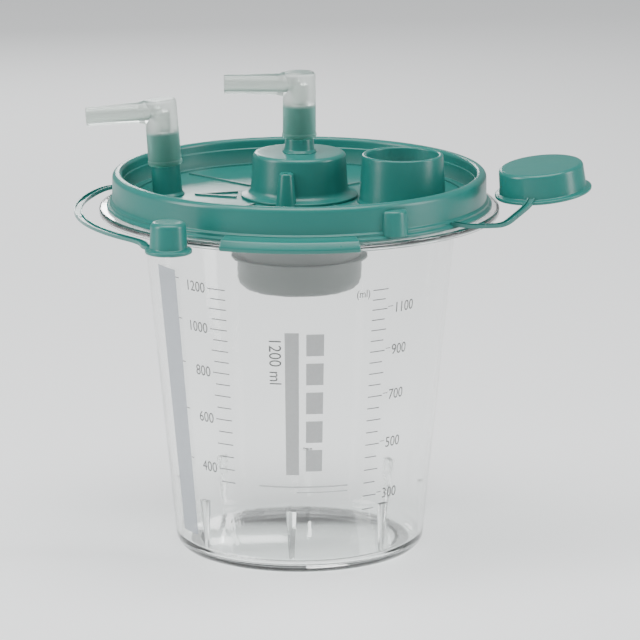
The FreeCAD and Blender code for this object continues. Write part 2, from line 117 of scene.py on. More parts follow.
paper_radius = 7.0
deselect()
bpy.ops.mesh.primitive_circle_add(
    vertices=96, radius=paper_radius, fill_type="NGON", location=(0, 0, 0))
paper = bpy.context.object
paper.name = "paper_floor"
paper.data.materials.append(paint("paper", (0.93, 0.94, 0.945), 0.85))

# Clear cup: one injection moulding in polystyrene, 2 mm thick and tapered so that
# empty cups nest. Its wide flange hangs in the holder and its upstanding ring
# pushes into the channel of the lid.


def softened(corners, steps):
    """Corners (radius, height) in mm; a third value rounds that corner to an arc."""
    outline = []
    for i, corner in enumerate(corners):
        here = Vector(corner[:2])
        if len(corner) == 2:
            outline.append(here)
            continue
        before = (Vector(corners[i - 1][:2]) - here).normalized()
        after = (Vector(corners[(i + 1) % len(corners)][:2]) - here).normalized()
        half = before.angle(after) / 2
        centre = here + (before + after).normalized() * corner[2] / math.sin(half)
        start = here + before * corner[2] / math.tan(half) - centre
        end = here + after * corner[2] / math.tan(half) - centre
        for k in range(steps + 1):
            outline.append(centre + start.lerp(end, k / steps).normalized() * corner[2])
    return outline


weld_distance = 1e-6


def drawn(name, outline):
    """A closed loop of edges through (radius, height) points in mm, standing at +X."""
    deselect()
    bpy.ops.mesh.primitive_plane_add(size=MM, location=(0, 0, 0))
    piece = bpy.context.object
    piece.name = name
    piece.data.name = name
    bpy.ops.object.mode_set(mode="EDIT")
    bpy.ops.mesh.select_mode(type="VERT")
    bpy.ops.mesh.select_all(action="SELECT")
    bpy.ops.mesh.merge(type="CENTER")
    bpy.ops.transform.translate(value=(outline[0].x * MM, 0, outline[0].y * MM))
    for last, point in zip(outline, outline[1:] + outline[:1]):
        step = (point - last) * MM
        bpy.ops.mesh.extrude_vertices_move(TRANSFORM_OT_translate={"value": (step.x, 0, step.y)})
    bpy.ops.mesh.select_all(action="SELECT")
    bpy.ops.mesh.remove_doubles(threshold=weld_distance)
    bpy.ops.mesh.select_all(action="SELECT")
    return piece


def select_only(piece):
    """Makes one piece the only selected piece, and the active one."""
    deselect()
    piece.select_set(True)
    bpy.context.view_layer.objects.active = piece


def smooth(piece):
    """Shades a piece smooth, apart from edges that turn by more than 30 degrees."""
    select_only(piece)
    bpy.ops.object.shade_smooth_by_angle(angle=math.radians(30))


def turned(name, corners, steps):
    """An outline spun round the upright axis, like work on a lathe."""
    piece = drawn(name, softened(corners, 5))
    bpy.ops.mesh.spin(steps=steps, angle=math.tau, center=(0, 0, 0), axis=(0, 0, 1))
    bpy.ops.mesh.select_all(action="SELECT")
    bpy.ops.mesh.remove_doubles(threshold=weld_distance)
    bpy.ops.mesh.normals_make_consistent(inside=False)
    bpy.ops.object.mode_set(mode="OBJECT")
    smooth(piece)
    return piece


def settle(piece, place=(0, 0, 0), turn=(0, 0, 0), order="XYZ"):
    """Moves and turns a piece, in mm and degrees, and keeps that in its mesh."""
    select_only(piece)
    piece.rotation_mode = order
    piece.rotation_euler = [math.radians(angle) for angle in turn]
    piece.location = piece.location + Vector(place) * MM
    bpy.ops.object.transform_apply(location=True, rotation=True, scale=True)
    return piece


cup_base = 52.4
cup_top = 66.4
cone_top = 143.4
cup_wall = 2.0


def cup_radius(height):
    """The outer radius of the cup's cone at a height, in mm."""
    return cup_base + (cup_top - cup_base) * height / cone_top


cup = turned("clear_cup", [
    (0, 1.2), (41, 1.2, 0.8), (42.5, 0, 0.6), (cup_base, 0, 6.0),
    (cup_top, cone_top, 3.0), (cup_top + 2.2, 145.6, 1.6), (83.3, 145.6, 0.3),
    (83.3, 144.6, 0.3), (84.5, 144.6, 0.5), (84.5, 147.6, 0.9), (76.9, 147.6, 0.3),
    (76.9, 158.0, 0.45), (75.9, 158.0, 0.45), (75.9, 147.6, 0.5),
    (cup_top - 0.2, 147.6, 1.2), (cup_top - cup_wall, cone_top, 2.0),
    (cup_radius(3.8) - cup_wall, 3.8, 4.0), (0, 3.8)], steps=192)


def surface_group():
    """Colour drift, a painted highlight along sharp edges, roughness drift and a fine ripple for moulded
    plastic.
    """
    group = bpy.data.node_groups.new("moulded_surface", "ShaderNodeTree")
    face = group.interface
    face.new_socket("Colour", in_out="INPUT", socket_type="NodeSocketColor")
    for label, value in (("Drift", 0.08), ("Painted_edge_highlight", 0.2), ("Roughness", 0.3), ("Scale", 40.0)):
        socket = face.new_socket(label, in_out="INPUT", socket_type="NodeSocketFloat")
        socket.default_value = value
    face.new_socket("Colour", in_out="OUTPUT", socket_type="NodeSocketColor")
    face.new_socket("Roughness", in_out="OUTPUT", socket_type="NodeSocketFloat")
    face.new_socket("Height", in_out="OUTPUT", socket_type="NodeSocketFloat")
    nodes = group.nodes
    link = group.links.new
    inlet = nodes.new("NodeGroupInput")
    outlet = nodes.new("NodeGroupOutput")
    place = nodes.new("ShaderNodeTexCoord")
    cloud = nodes.new("ShaderNodeTexNoise")
    cloud.inputs["Detail"].default_value = 4.0
    fine = nodes.new("ShaderNodeTexNoise")
    fine.inputs["Scale"].default_value = 900.0
    fine.inputs["Detail"].default_value = 3.0
    link(place.outputs["Object"], cloud.inputs["Vector"])
    link(place.outputs["Object"], fine.inputs["Vector"])
    link(inlet.outputs["Scale"], cloud.inputs["Scale"])
    # colour: lighter and darker by the drift, and painted paler along sharp edges and ridges as a
    # painted highlight
    shift = nodes.new("ShaderNodeMath")
    shift.operation = "SUBTRACT"
    shift.inputs[1].default_value = 0.5
    link(cloud.outputs["Fac"], shift.inputs[0])
    amount = nodes.new("ShaderNodeMath")
    amount.operation = "MULTIPLY_ADD"
    amount.inputs[2].default_value = 1.0
    link(shift.outputs[0], amount.inputs[0])
    link(inlet.outputs["Drift"], amount.inputs[1])
    tone = nodes.new("ShaderNodeHueSaturation")
    link(inlet.outputs["Colour"], tone.inputs["Color"])
    link(amount.outputs[0], tone.inputs["Value"])
    shape = nodes.new("ShaderNodeNewGeometry")
    ridge = nodes.new("ShaderNodeMapRange")
    ridge.inputs["From Min"].default_value = 0.53
    ridge.inputs["From Max"].default_value = 0.66
    link(shape.outputs["Pointiness"], ridge.inputs["Value"])
    highlight_amount = nodes.new("ShaderNodeMath")
    highlight_amount.operation = "MULTIPLY"
    link(ridge.outputs["Result"], highlight_amount.inputs[0])
    link(inlet.outputs["Painted_edge_highlight"], highlight_amount.inputs[1])
    # painted highlight: pale teal mixed in wherever the surface is sharply convex
    with_painted_highlight = nodes.new("ShaderNodeMix")
    with_painted_highlight.data_type = "RGBA"
    with_painted_highlight.inputs["B"].default_value = (0.75, 0.85, 0.83, 1)
    link(highlight_amount.outputs[0], with_painted_highlight.inputs["Factor"])
    link(tone.outputs["Color"], with_painted_highlight.inputs["A"])
    link(with_painted_highlight.outputs["Result"], outlet.inputs["Colour"])
    # roughness: patches a little duller or glossier than the rest
    rough = nodes.new("ShaderNodeMath")
    rough.operation = "MULTIPLY_ADD"
    link(shift.outputs[0], rough.inputs[0])
    rough.inputs[1].default_value = 0.16
    link(inlet.outputs["Roughness"], rough.inputs[2])
    link(rough.outputs[0], outlet.inputs["Roughness"])
    # height: slow waves of the mould under a fine grain
    both = nodes.new("ShaderNodeMath")
    both.operation = "MULTIPLY_ADD"
    both.inputs[1].default_value = 6.0
    link(cloud.outputs["Fac"], both.inputs[0])
    link(fine.outputs["Fac"], both.inputs[2])
    link(both.outputs[0], outlet.inputs["Height"])
    return group


moulded_surface = surface_group()


def moulded(name, colour, roughness, drift, edge, ripple=0.02, scale=40.0):
    """Moulded plastic: the surface group feeding a Principled shader."""
    material = paint(name, colour, roughness)
    shader = principled(material)
    nodes = material.node_tree.nodes
    link = material.node_tree.links.new
    skin = nodes.new("ShaderNodeGroup")
    skin.node_tree = moulded_surface
    skin.inputs["Colour"].default_value = (*colour, 1)
    skin.inputs["Drift"].default_value = drift
    # edge: how strongly sharp edges are painted paler, a painted highlight
    skin.inputs["Painted_edge_highlight"].default_value = edge
    skin.inputs["Roughness"].default_value = roughness
    skin.inputs["Scale"].default_value = scale
    link(skin.outputs["Colour"], shader.inputs["Base Color"])
    link(skin.outputs["Roughness"], shader.inputs["Roughness"])
    bump = nodes.new("ShaderNodeBump")
    bump.inputs["Strength"].default_value = ripple
    bump.inputs["Distance"].default_value = 0.001
    link(skin.outputs["Height"], bump.inputs["Height"])
    link(bump.outputs["Normal"], shader.inputs["Normal"])
    return material


def let_lamps_through(material, tint):
    """Light from lamps passes straight through clear plastic instead of stopping."""
    nodes = material.node_tree.nodes
    link = material.node_tree.links.new
    clear = nodes.new("ShaderNodeBsdfTransparent")
    clear.inputs["Color"].default_value = (*tint, 1)
    path = nodes.new("ShaderNodeLightPath")
    mix = nodes.new("ShaderNodeMixShader")
    link(path.outputs["Is Shadow Ray"], mix.inputs["Fac"])
    link(principled(material).outputs["BSDF"], mix.inputs[1])
    link(clear.outputs["BSDF"], mix.inputs[2])
    link(mix.outputs["Shader"], nodes["Material Output"].inputs["Surface"])


clear_plastic = moulded(
    "clear_styrene", (0.985, 0.995, 0.99), 0.03, drift=0.01, edge=0.0, ripple=0.01)
principled(clear_plastic).inputs["Transmission Weight"].default_value = 1.0
principled(clear_plastic).inputs["IOR"].default_value = 1.5
let_lamps_through(clear_plastic, (0.95, 0.965, 0.96))
cup.data.materials.append(clear_plastic)
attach(cup, "canister")
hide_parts("canister_shell")

# Stacking wedges: eight small ribs moulded on the inside of the wall, deepest and
# widest at the top, where the next cup's base would rest on them.


def pick(piece, test):
    """Selects, in edit mode, only the corners whose place in mm passes a test."""
    bpy.ops.object.mode_set(mode="EDIT")
    bpy.ops.mesh.select_mode(type="VERT")
    bpy.ops.mesh.select_all(action="DESELECT")
    bpy.ops.object.mode_set(mode="OBJECT")
    for vertex in piece.data.vertices:
        vertex.select = test(vertex.co / MM)
    bpy.ops.object.mode_set(mode="EDIT")


def rounded(piece, width):
    """Softens a piece's sharp edges by a width in mm."""
    select_only(piece)
    edges = piece.modifiers.new("round", "BEVEL")
    edges.width = width * MM
    edges.segments = 3
    edges.limit_method = "ANGLE"
    edges.angle_limit = math.radians(40)
    bpy.ops.object.modifier_apply(modifier=edges.name)
    smooth(piece)


wedge_top = 28.0
wedge_bottom = 7.0
wedge_ledge = 2.4
wedge_toe = 0.6
wedge_foot_width = 2.2
wedge_head_width = 4.2
wedge_count = 8
wedge_turn = 3.5
wall_gap = 0.02
toe_face = cup_radius(wedge_bottom) - cup_wall - wall_gap
top_face = cup_radius(wedge_top) - cup_wall - wall_gap
toe_middle = Vector((toe_face - wedge_toe / 2, 0, (wedge_top + wedge_bottom) / 2)) * MM
deselect()
bpy.ops.mesh.primitive_cube_add(size=MM, location=(0, 0, 0))
wedge = bpy.context.object
bpy.ops.object.mode_set(mode="EDIT")
bpy.ops.transform.resize(
    value=(wedge_toe, wedge_foot_width, wedge_top - wedge_bottom), center_override=(0, 0, 0))
bpy.ops.transform.translate(value=toe_middle)
pick(wedge, lambda place: place.z > wedge_top - 1)
bpy.ops.transform.resize(
    value=(wedge_ledge / wedge_toe, wedge_head_width / wedge_foot_width, 1),
    center_override=toe_middle)
bpy.ops.transform.translate(
    value=((top_face - toe_face - (wedge_ledge - wedge_toe) / 2) * MM, 0, 0))
bpy.ops.object.mode_set(mode="OBJECT")
rounded(wedge, 0.22)
wedge.data.materials.append(clear_plastic)
for index in range(wedge_count):
    rib = wedge.copy()
    rib.data = wedge.data.copy()
    rib.name = "stacking_wedge_%d" % (index + 1)
    bpy.context.collection.objects.link(rib)
    settle(rib, turn=(0, 0, index * 360.0 / wedge_count - wedge_turn))
    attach(rib, "canister")
    if index == 0:
        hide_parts("stacking_ribs")
bpy.data.objects.remove(wedge)

# Printed scale: pad-printed in one grey ink on the outside of the wall. Marks every
# 50 ml climb both sides, with the even hundreds on the left and the odd on the right,
# and a plain bar and blocks fill the middle.
ink = moulded("grey_ink", (0.115, 0.12, 0.12), 0.5, drift=0.25, edge=0.0, ripple=0.04, scale=900.0)
ink_gap = 0.05
ink_thickness = 0.07
printed = []


def swept(name, corners, start, end, steps):
    """An outline spun between two azimuths in degrees, with both ends closed."""
    piece = drawn(name, softened(corners, 4))
    bpy.ops.mesh.edge_face_add()
    bpy.ops.mesh.spin(steps=steps, angle=math.radians(start - end), center=(0, 0, 0), axis=(0, 0, 1))
    bpy.ops.mesh.select_all(action="SELECT")
    bpy.ops.mesh.normals_make_consistent(inside=False)
    bpy.ops.object.mode_set(mode="OBJECT")
    settle(piece, turn=(0, 0, start))
    smooth(piece)
    return piece


def printed_patch(bottom, top, start, end, steps=4):
    """A patch of ink on the cup's cone; azimuths are degrees from the front."""
    skin = ink_gap + ink_thickness
    return swept("patch", [
        (cup_radius(bottom) + ink_gap, bottom), (cup_radius(bottom) + skin, bottom),
        (cup_radius(top) + skin, top), (cup_radius(top) + ink_gap, top)],
        start - 90, end - 90, steps)


letter_squeeze = 0.86
start_gap = 0.3


def printed_words(words, size, height, azimuth, align="CENTER", roll=0.0):
    """Words set flat, stood up against the cone and shrunk on to it."""
    deselect()
    bpy.ops.object.text_add(location=(0, 0, 0))
    label = bpy.context.object
    label.data.body = words
    label.data.size = size * MM
    label.data.align_x = align
    label.data.align_y = "CENTER"
    label.data.resolution_u = 4
    bpy.ops.object.convert(target="MESH")
    label = bpy.context.object
    bpy.ops.object.mode_set(mode="EDIT")
    bpy.ops.mesh.select_all(action="SELECT")
    bpy.ops.mesh.remove_doubles(threshold=weld_distance)
    bpy.ops.transform.resize(value=(letter_squeeze, 1, 1), center_override=(0, 0, 0))
    bpy.ops.object.mode_set(mode="OBJECT")
    settle(label, turn=(0, 0, roll))
    settle(label, turn=(90, 0, 0))
    settle(label, place=(0, -cup_radius(height) - start_gap, height))
    settle(label, turn=(0, 0, azimuth))
    wrap = label.modifiers.new("wrap", "SHRINKWRAP")
    wrap.target = cup
    wrap.wrap_method = "NEAREST_SURFACEPOINT"
    wrap.wrap_mode = "ABOVE_SURFACE"
    wrap.offset = ink_gap * MM
    bpy.ops.object.modifier_apply(modifier=wrap.name)
    body = label.modifiers.new("body", "SOLIDIFY")
    body.thickness = ink_thickness * MM
    body.offset = 1.0
    bpy.ops.object.modifier_apply(modifier=body.name)
    return label


def mark_height(hundreds):
    """Where the mark for so many hundred millilitres is printed on the taper."""
    return -3.0 + 12.66 * hundreds - 0.179 * hundreds * hundreds


def finish_print(name, patches, coat):
    """Joins patches and words into one printed piece that stays on the cup."""
    deselect()
    for patch in patches:
        patch.select_set(True)
    bpy.context.view_layer.objects.active = patches[0]
    bpy.ops.object.join()
    piece = bpy.context.object
    piece.name = name
    piece.data.name = name
    piece.data.materials.clear()
    piece.data.materials.append(coat)
    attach(piece, "canister")


# the marks run from 250 ml on the right and 350 ml on the left; whole hundreds are longer
mark_half = 0.2
left_start, left_end = -34.8, -28.2
right_start, right_end = 28.4, 34.0
for half in range(5, 25):
    level = mark_height(half / 2)
    reach = 1.0 if half % 2 == 0 else 0.0
    if half > 6:
        printed.append(printed_patch(level - mark_half, level + mark_half, left_start - reach, left_end))
    printed.append(printed_patch(level - mark_half, level + mark_half, right_start, right_end + reach))
digit_size = 6.4
digit_drop = 0.4
for hundred in (4, 6, 8, 10, 12):
    level = mark_height(hundred)
    printed.append(printed_words("%d00" % hundred, digit_size, level - digit_drop, -37.0, "RIGHT"))
    printed.append(printed_patch(level + 1.7, level + 2.05, -52.5, -50.6, 2))
for hundred in (3, 5, 7, 9, 11):
    level = mark_height(hundred)
    printed.append(printed_words("%d00" % hundred, digit_size, level - digit_drop, 38.2, "LEFT"))
    printed.append(printed_patch(level + 0.6, level + 0.9, 35.4, 37.6, 2))
printed.append(printed_words("(ml)", 4.6, mark_height(12) - 1.2, 24.5))
printed.append(printed_words("1200 ml", 7.4, 94.0, -9.4, roll=-90))
finish_print("printed_scale", printed, ink)

# Plain panel: a lighter grey bar with five short blocks beside it, and two thin lines
# under them. It is printed like the scale, in a paler ink.
pale_ink = moulded("pale_ink", (0.43, 0.44, 0.44), 0.5, drift=0.2, edge=0.0, ripple=0.04, scale=900.0)
panel = [printed_patch(44.5, 106.5, -5.4, 0.0, 5)]
top_block = 96.5
block_pitch = 12.6
block_size = 9.4
for step in range(5):
    foot = top_block - step * block_pitch
    panel.append(printed_patch(foot, foot + block_size, 2.8, 9.6, 6))
panel.append(printed_patch(38.9, 39.5, -17.0, 21.0, 24))
panel.append(printed_patch(36.6, 37.0, -1.0, 21.0, 16))
finish_print("printed_panel", panel, pale_ink)

# Painted reflection: a matt grey band up the cup's left side stands in for a tall reflection in the
# clear wall.
# It is printed like the scale, in a thinner coat that lets some light through.
painted_reflection_coat = moulded(
    "painted_reflection_coat", (0.40, 0.43, 0.47), 0.6, drift=0.1, edge=0.0, ripple=0.05, scale=400.0)
principled(painted_reflection_coat).inputs["Alpha"].default_value = 0.62
reflection_stripe = printed_patch(12.0, 128.0, -65.0, -52.6, 10)
reflection_stripe.name = "painted_reflection_stripe"
reflection_stripe.data.name = "painted_reflection_stripe"
reflection_stripe.data.materials.append(painted_reflection_coat)
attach(reflection_stripe, "canister")

# Lid rim: the outer wall of the teal polypropylene lid, with a rolled lip, a channel
# that pushes over the cup's ring, and two beads at the foot of the skirt.
# edge=0.30 paints the teal's sharp edges and ridges paler, a painted highlight
teal = moulded("teal_polypropylene", (0.012, 0.150, 0.129), 0.31, drift=0.14, edge=0.30, ripple=0.03)
principled(teal).inputs["Subsurface Weight"].default_value = 0.08
principled(teal).inputs["Subsurface Scale"].default_value = 0.004
principled(teal).inputs["IOR"].default_value = 1.49


def finish_teal(piece, body, *nodes):
    """Makes a piece teal, fixes it to its body and hides the CAD nodes it stands in for."""
    piece.data.materials.append(teal)
    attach(piece, body)
    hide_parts(*nodes)


rim = turned("lid_rim_moulding", [
    (74.3, 149.5), (75.6, 149.5), (75.6, 158.6), (77.2, 158.6), (77.2, 147.6, 0.2),
    (81.3, 147.6, 0.5), (81.3, 148.8, 0.5), (80.0, 149.3, 0.3), (80.0, 150.5, 0.5),
    (79.0, 151.1, 0.5), (78.9, 162.3, 2.2), (74.7, 162.3, 1.5), (74.7, 158.2, 0.3),
    (74.3, 157.8, 0.3)], steps=224)
finish_teal(rim, "lid", "lid_rim")

# Lid floor: the recessed disc of the same moulding, with a plug ring underneath that
# fills the cup's mouth and a hole that the pour spout stands over.
floor_top = 151.5
floor_rings = [(radius, floor_top) for radius in (73.8, 68, 62, 56, 50, 44, 38, 32, 26, 20, 16.4)]
floor = turned("lid_floor_moulding", [
    (15.9, 149.5), (61.9, 149.5), (61.9, 143.2, 0.3), (63.5, 143.2, 0.3),
    (63.5, 149.5), (74.3, 149.5), (74.3, floor_top), *floor_rings, (15.9, floor_top)], steps=192)


def combine(piece, other, how):
    """Joins another piece to one, or cuts it away; the other piece is used up."""
    select_only(piece)
    change = piece.modifiers.new("combine", "BOOLEAN")
    change.operation = how
    change.solver = "EXACT"
    change.object = other
    bpy.ops.object.modifier_apply(modifier=change.name)
    bpy.data.objects.remove(other)


def drill(radius, bottom, top, x=0.0, y=0.0):
    """A plain round cutter."""
    deselect()
    bpy.ops.mesh.primitive_cylinder_add(
        vertices=96, radius=radius * MM, depth=(top - bottom) * MM,
        location=(x * MM, y * MM, (top + bottom) / 2 * MM))
    return settle(bpy.context.object)


spout_low, spout_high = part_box("pour_spout")
spout_x = (spout_low.x + spout_high.x) / 2 / MM
spout_y = (spout_low.y + spout_high.y) / 2 / MM
spout_bore = 15.2
combine(floor, drill(spout_bore, 140, 160, spout_x, spout_y), "DIFFERENCE")
smooth(floor)
finish_teal(floor, "lid", "lid_floor")

# Turret: the raised drum in the lid's middle that holds the aerosol filter, with
# the vacuum nipple standing on it. Both belong to the lid's moulding.
turret_top = 170.4
turret_rings = [(radius, turret_top) for radius in (17.0, 12.0, 8.0, 4.4)]
turret = turned("turret_drum", [
    (17.5, floor_top), (24.7, floor_top, 0.4), (24.7, 152.6, 0.4), (20.6, 153.6, 2.6),
    (19.5, turret_top, 1.7), *turret_rings, (3.8, turret_top), (3.8, 168.4), (17.5, 168.4)], steps=128)
finish_teal(turret, "lid", "vacuum_turret")


neck_height = 13.6


def nipple(name, foot, shoulder):
    """A stepped nipple: broad stem, shoulder for the elbow's mouth, thinner neck."""
    top = shoulder + neck_height
    return turned(name, [
        (3.8, foot), (7.4, foot, 0.2), (6.3, foot + 1.4, 1.0), (6.0, shoulder, 0.3),
        (5.2, shoulder, 0.1), (5.1, top, 0.7), (3.8, top, 0.3)], steps=72)


vacuum_shoulder = 176.5
vacuum_nipple = nipple("vacuum_nipple_stem", turret_top, vacuum_shoulder)
finish_teal(vacuum_nipple, "lid", "vacuum_nipple")

port_x = -55.7
port_y = 3.0
port_lean = 4.2
patient_shoulder = 13.0
patient_nipple = nipple("patient_nipple_stem", -0.3, patient_shoulder)
settle(patient_nipple, place=(port_x, port_y, floor_top), turn=(0, -port_lean, 0))
finish_teal(patient_nipple, "lid", "patient_nipple")

# Pressure-tap post: a small tapered peg with a pinhole in its top. It is part of the
# lid's moulding, and stands on the floor against the turret.
post = turned("pressure_tap_post", [
    (0, floor_top), (4.3, floor_top), (4.3, 152.2, 0.3), (2.9, 165.5, 0.8), (0.9, 165.5, 0.1),
    (0.9, 160.0), (0, 160.0)], steps=48)
settle(post, place=(-5.4, -22.2, 0))
finish_teal(post, "lid", "turret_post")

# Pour spout: an open tapered tube that empties the cup, moulded with the lid over
# the hole in its floor. Its cap hangs beside it.
spout_top = 171.7
spout = turned("pour_spout_tube", [
    (spout_bore, floor_top), (19.0, floor_top), (19.0, 151.9, 0.2), (18.2, 152.8, 0.8),
    (17.0, spout_top, 0.7), (spout_bore, spout_top, 0.8)], steps=128)
settle(spout, place=(spout_x, spout_y, 0))
finish_teal(spout, "lid", "pour_spout")

# Floor lines: low straight ridges moulded on the lid's floor to stiffen it. Thin
# stretches of the moulding, such as these and the straps, keep a more even colour, with less drift and a
# weaker painted edge highlight.
thin_teal = moulded("thin_polypropylene", (0.012, 0.135, 0.117), 0.30, drift=0.10, edge=0.05)


def refinish(material, *nodes):
    """Gives a new material to CAD pieces that keep their own meshes."""
    for node in nodes:
        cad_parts[node].data.materials.clear()
        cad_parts[node].data.materials.append(material)


refinish(thin_teal, "floor_ribs")

# Lift tab: a ledge at the front of the skirt for a thumb to pull on. Its outer lip
# reaches down over the edge of the cup's flange.
tab = swept("lift_tab_ledge", [
    (80.3, 147.9), (84.9, 147.9, 0.3), (84.9, 144.7, 0.3), (86.2, 144.7, 0.6),
    (86.6, 146.4, 1.0), (84.6, 149.2, 1.6), (82.2, 149.5, 1.6), (80.1, 150.3)],
    start=-112.0, end=-73.0, steps=60)
rounded(tab, 0.35)
finish_teal(tab, "lid", "lift_tab")

# Skirt boss: a half-round peg moulded on the outside of the skirt, with a softly
# rounded top. The small port cap's strap can be looped over it.
boss = turned("skirt_boss_peg", [
    (0, 148.9), (6.4, 148.9, 0.3), (6.2, 150.6, 0.8), (5.6, 159.5, 1.4), (0, 159.5)], steps=64)
boss_azimuth = math.radians(-60.2)
boss_distance = 77.4
skirt_radius = 78.7
settle(boss, place=(boss_distance * math.cos(boss_azimuth), boss_distance * math.sin(boss_azimuth), 0))
combine(boss, drill(skirt_radius, 140, 170), "DIFFERENCE")
smooth(boss)
finish_teal(boss, "lid", "skirt_boss")

# Spout cap: a shallow polypropylene lid with a thin flange round its foot. It hangs
# open beside the spout on its own strap.
cap_height = 11.9
cap_rings = [(radius, cap_height) for radius in (15.2, 10.0, 5.0, 0)]
cap = turned("spout_cap_shell", [
    (17.3, 0, 0.2), (20.3, 0, 0.5), (20.3, 1.3, 0.5), (18.2, 1.7, 0.6),
    (17.6, cap_height, 1.6), *cap_rings, (0, 10.4),
    (16.8, 10.4, 0.8)], steps=128)
settle(cap, place=(102.0, -20.2, 157.0), turn=(3.5, -6.3, 0), order="YXZ")
finish_teal(cap, "spout_cap", "spout_cap")

# Port cap: the small plug-shaped cap for the patient nipple, moulded with the lid and
# held by the long loop strap.
small_cap_height = 12.8
small_cap_rings = [(radius, small_cap_height) for radius in (4.8, 2.4, 0)]
small_cap = turned("port_cap_shell", [
    (6.3, 0, 0.2), (9.6, 0, 0.5), (9.6, 1.6, 0.5), (7.7, 2.0, 0.6),
    (7.2, small_cap_height, 1.8), *small_cap_rings, (0, 11.4), (6.0, 11.4, 0.6)], steps=96)
settle(small_cap, place=(-52.7, -80.7, 144.2))
finish_teal(small_cap, "port_cap", "port_cap")

# Spout strap: a thin channel-section band moulded from the skirt to the cap. It flexes
# at three thinned places: by the skirt, at its bend and by the cap.


def band(name, points):
    """A channel-section strap along a smooth curve through places in mm."""
    deselect()
    bpy.ops.curve.primitive_bezier_circle_add(radius=MM, location=(0, 0, 0))
    section = bpy.context.object
    section.data.dimensions = "2D"
    section.data.splines.clear()
    edge = section.data.splines.new("POLY")
    corners = ((-1.6, -0.75), (1.6, -0.75), (1.6, 0.7), (1.3, 0.75), (1.0, 0.7), (0.95, 0.1),
               (-0.95, 0.1), (-1.0, 0.7), (-1.3, 0.75), (-1.6, 0.7))
    edge.points.add(len(corners) - 1)
    edge.use_cyclic_u = True
    for corner, place in zip(edge.points, corners):
        corner.co = (place[0] * MM, place[1] * MM, 0, 1)
    bpy.ops.curve.primitive_nurbs_path_add(location=(0, 0, 0))
    strap = bpy.context.object
    strap.name = name
    strap.data.splines.clear()
    line = strap.data.splines.new("NURBS")
    line.points.add(len(points) - 1)
    for knot, place in zip(line.points, points):
        knot.co = (*(Vector(place) * MM), 1)
    line.order_u = 3
    line.use_endpoint_u = True
    line.resolution_u = 8
    strap.data.twist_mode = "Z_UP"
    strap.data.bevel_mode = "OBJECT"
    strap.data.bevel_object = section
    strap.data.use_fill_caps = True
    select_only(strap)
    bpy.ops.object.convert(target="MESH")
    strap = bpy.context.object
    bpy.data.objects.remove(section)
    bpy.ops.object.mode_set(mode="EDIT")
    bpy.ops.mesh.select_all(action="SELECT")
    bpy.ops.mesh.remove_doubles(threshold=weld_distance)
    bpy.ops.mesh.normals_make_consistent(inside=False)
    bpy.ops.object.mode_set(mode="OBJECT")
    smooth(strap)
    return strap


def stretch(strap, name, cuts):
    """A copy of a strap cut off at planes, each a place in mm and a way to keep."""
    piece = strap.copy()
    piece.data = strap.data.copy()
    piece.name = name
    piece.data.name = name
    bpy.context.collection.objects.link(piece)
    select_only(piece)
    bpy.ops.object.mode_set(mode="EDIT")
    for place, way in cuts:
        bpy.ops.mesh.select_all(action="SELECT")
        bpy.ops.mesh.bisect(plane_co=Vector(place) * MM, plane_no=way, use_fill=True, clear_inner=True)
    bpy.ops.object.mode_set(mode="OBJECT")
    piece.data.materials.append(thin_teal)
    return piece


def flex(piece):
    """Keeps a stretch where it lies, with its place set into its mesh."""
    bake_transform(piece)


strap_root = (65.9, -50.3, 149.6)
strap_knee = (70.5, -50.6, 148.9)
strap_bend = (84.7, -47.0, 148.6)
strap_end = (95.1, -40.3, 155.8)
spout_strap = band("spout_strap", [
    (62.4, -47.8, 149.7), strap_root, strap_knee, (77.6, -48.9, 148.7), strap_bend,
    (89.9, -43.7, 152.2), strap_end, (96.1, -37.5, 157.6)])
inner_cut = (77.0, -49.0, 148.7)
outer_cut = (89.9, -43.7, 152.2)
first = stretch(spout_strap, "spout_strap_root", [(inner_cut, (-1, 0, 0))])
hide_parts("spout_strap_lug", "spout_strap_inner")
flex(first)
second = stretch(spout_strap, "spout_strap_middle", [(inner_cut, (1, 0, 0)), (outer_cut, (-1, 0, 0))])
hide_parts("spout_strap_outer")
flex(second)
third = stretch(spout_strap, "spout_strap_tip", [(outer_cut, (1, 0, 0))])
flex(third)
bpy.data.objects.remove(spout_strap)

# Loop strap: the same band in one long loop round the left of the lid, from a stub on
# the skirt to the small port cap.
loop_root = (-77.5, 29.5, 149.6)
loop_tip = (-62.4, -75.6, 145.4)
loop_radius = 94.0
loop_level = 146.2
ring_places = []
for azimuth in (168.5, 180.0, 192.0, 204.0, 216.0, 227.5):
    angle = math.radians(azimuth)
    ring_places.append((loop_radius * math.cos(angle), loop_radius * math.sin(angle), loop_level))
loop_strap = band("loop_strap", [
    (-73.6, 27.9, 149.7), loop_root, (-84.5, 28.0, 148.9), *ring_places, loop_tip,
    (-58.6, -77.6, 145.2)])
loop_cut = (-90.0, -20.0, loop_level)
first = stretch(loop_strap, "loop_strap_root", [(loop_cut, (0, 1, 0))])
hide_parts("port_strap_lug", "port_strap")
flex(first)
second = stretch(loop_strap, "loop_strap_tip", [(loop_cut, (0, -1, 0))])
flex(second)
bpy.data.objects.remove(loop_strap)

# Elbows: translucent polyethylene, pushed over the nipples, free to swivel. The
# body, the arm and the bores are one moulding with soft inner corners.
milky = moulded("milky_polyethylene", (0.72, 0.765, 0.735), 0.36, drift=0.06, edge=0.0, ripple=0.02)
principled(milky).inputs["Transmission Weight"].default_value = 0.86
principled(milky).inputs["IOR"].default_value = 1.24
let_lamps_through(milky, (0.6, 0.63, 0.62))


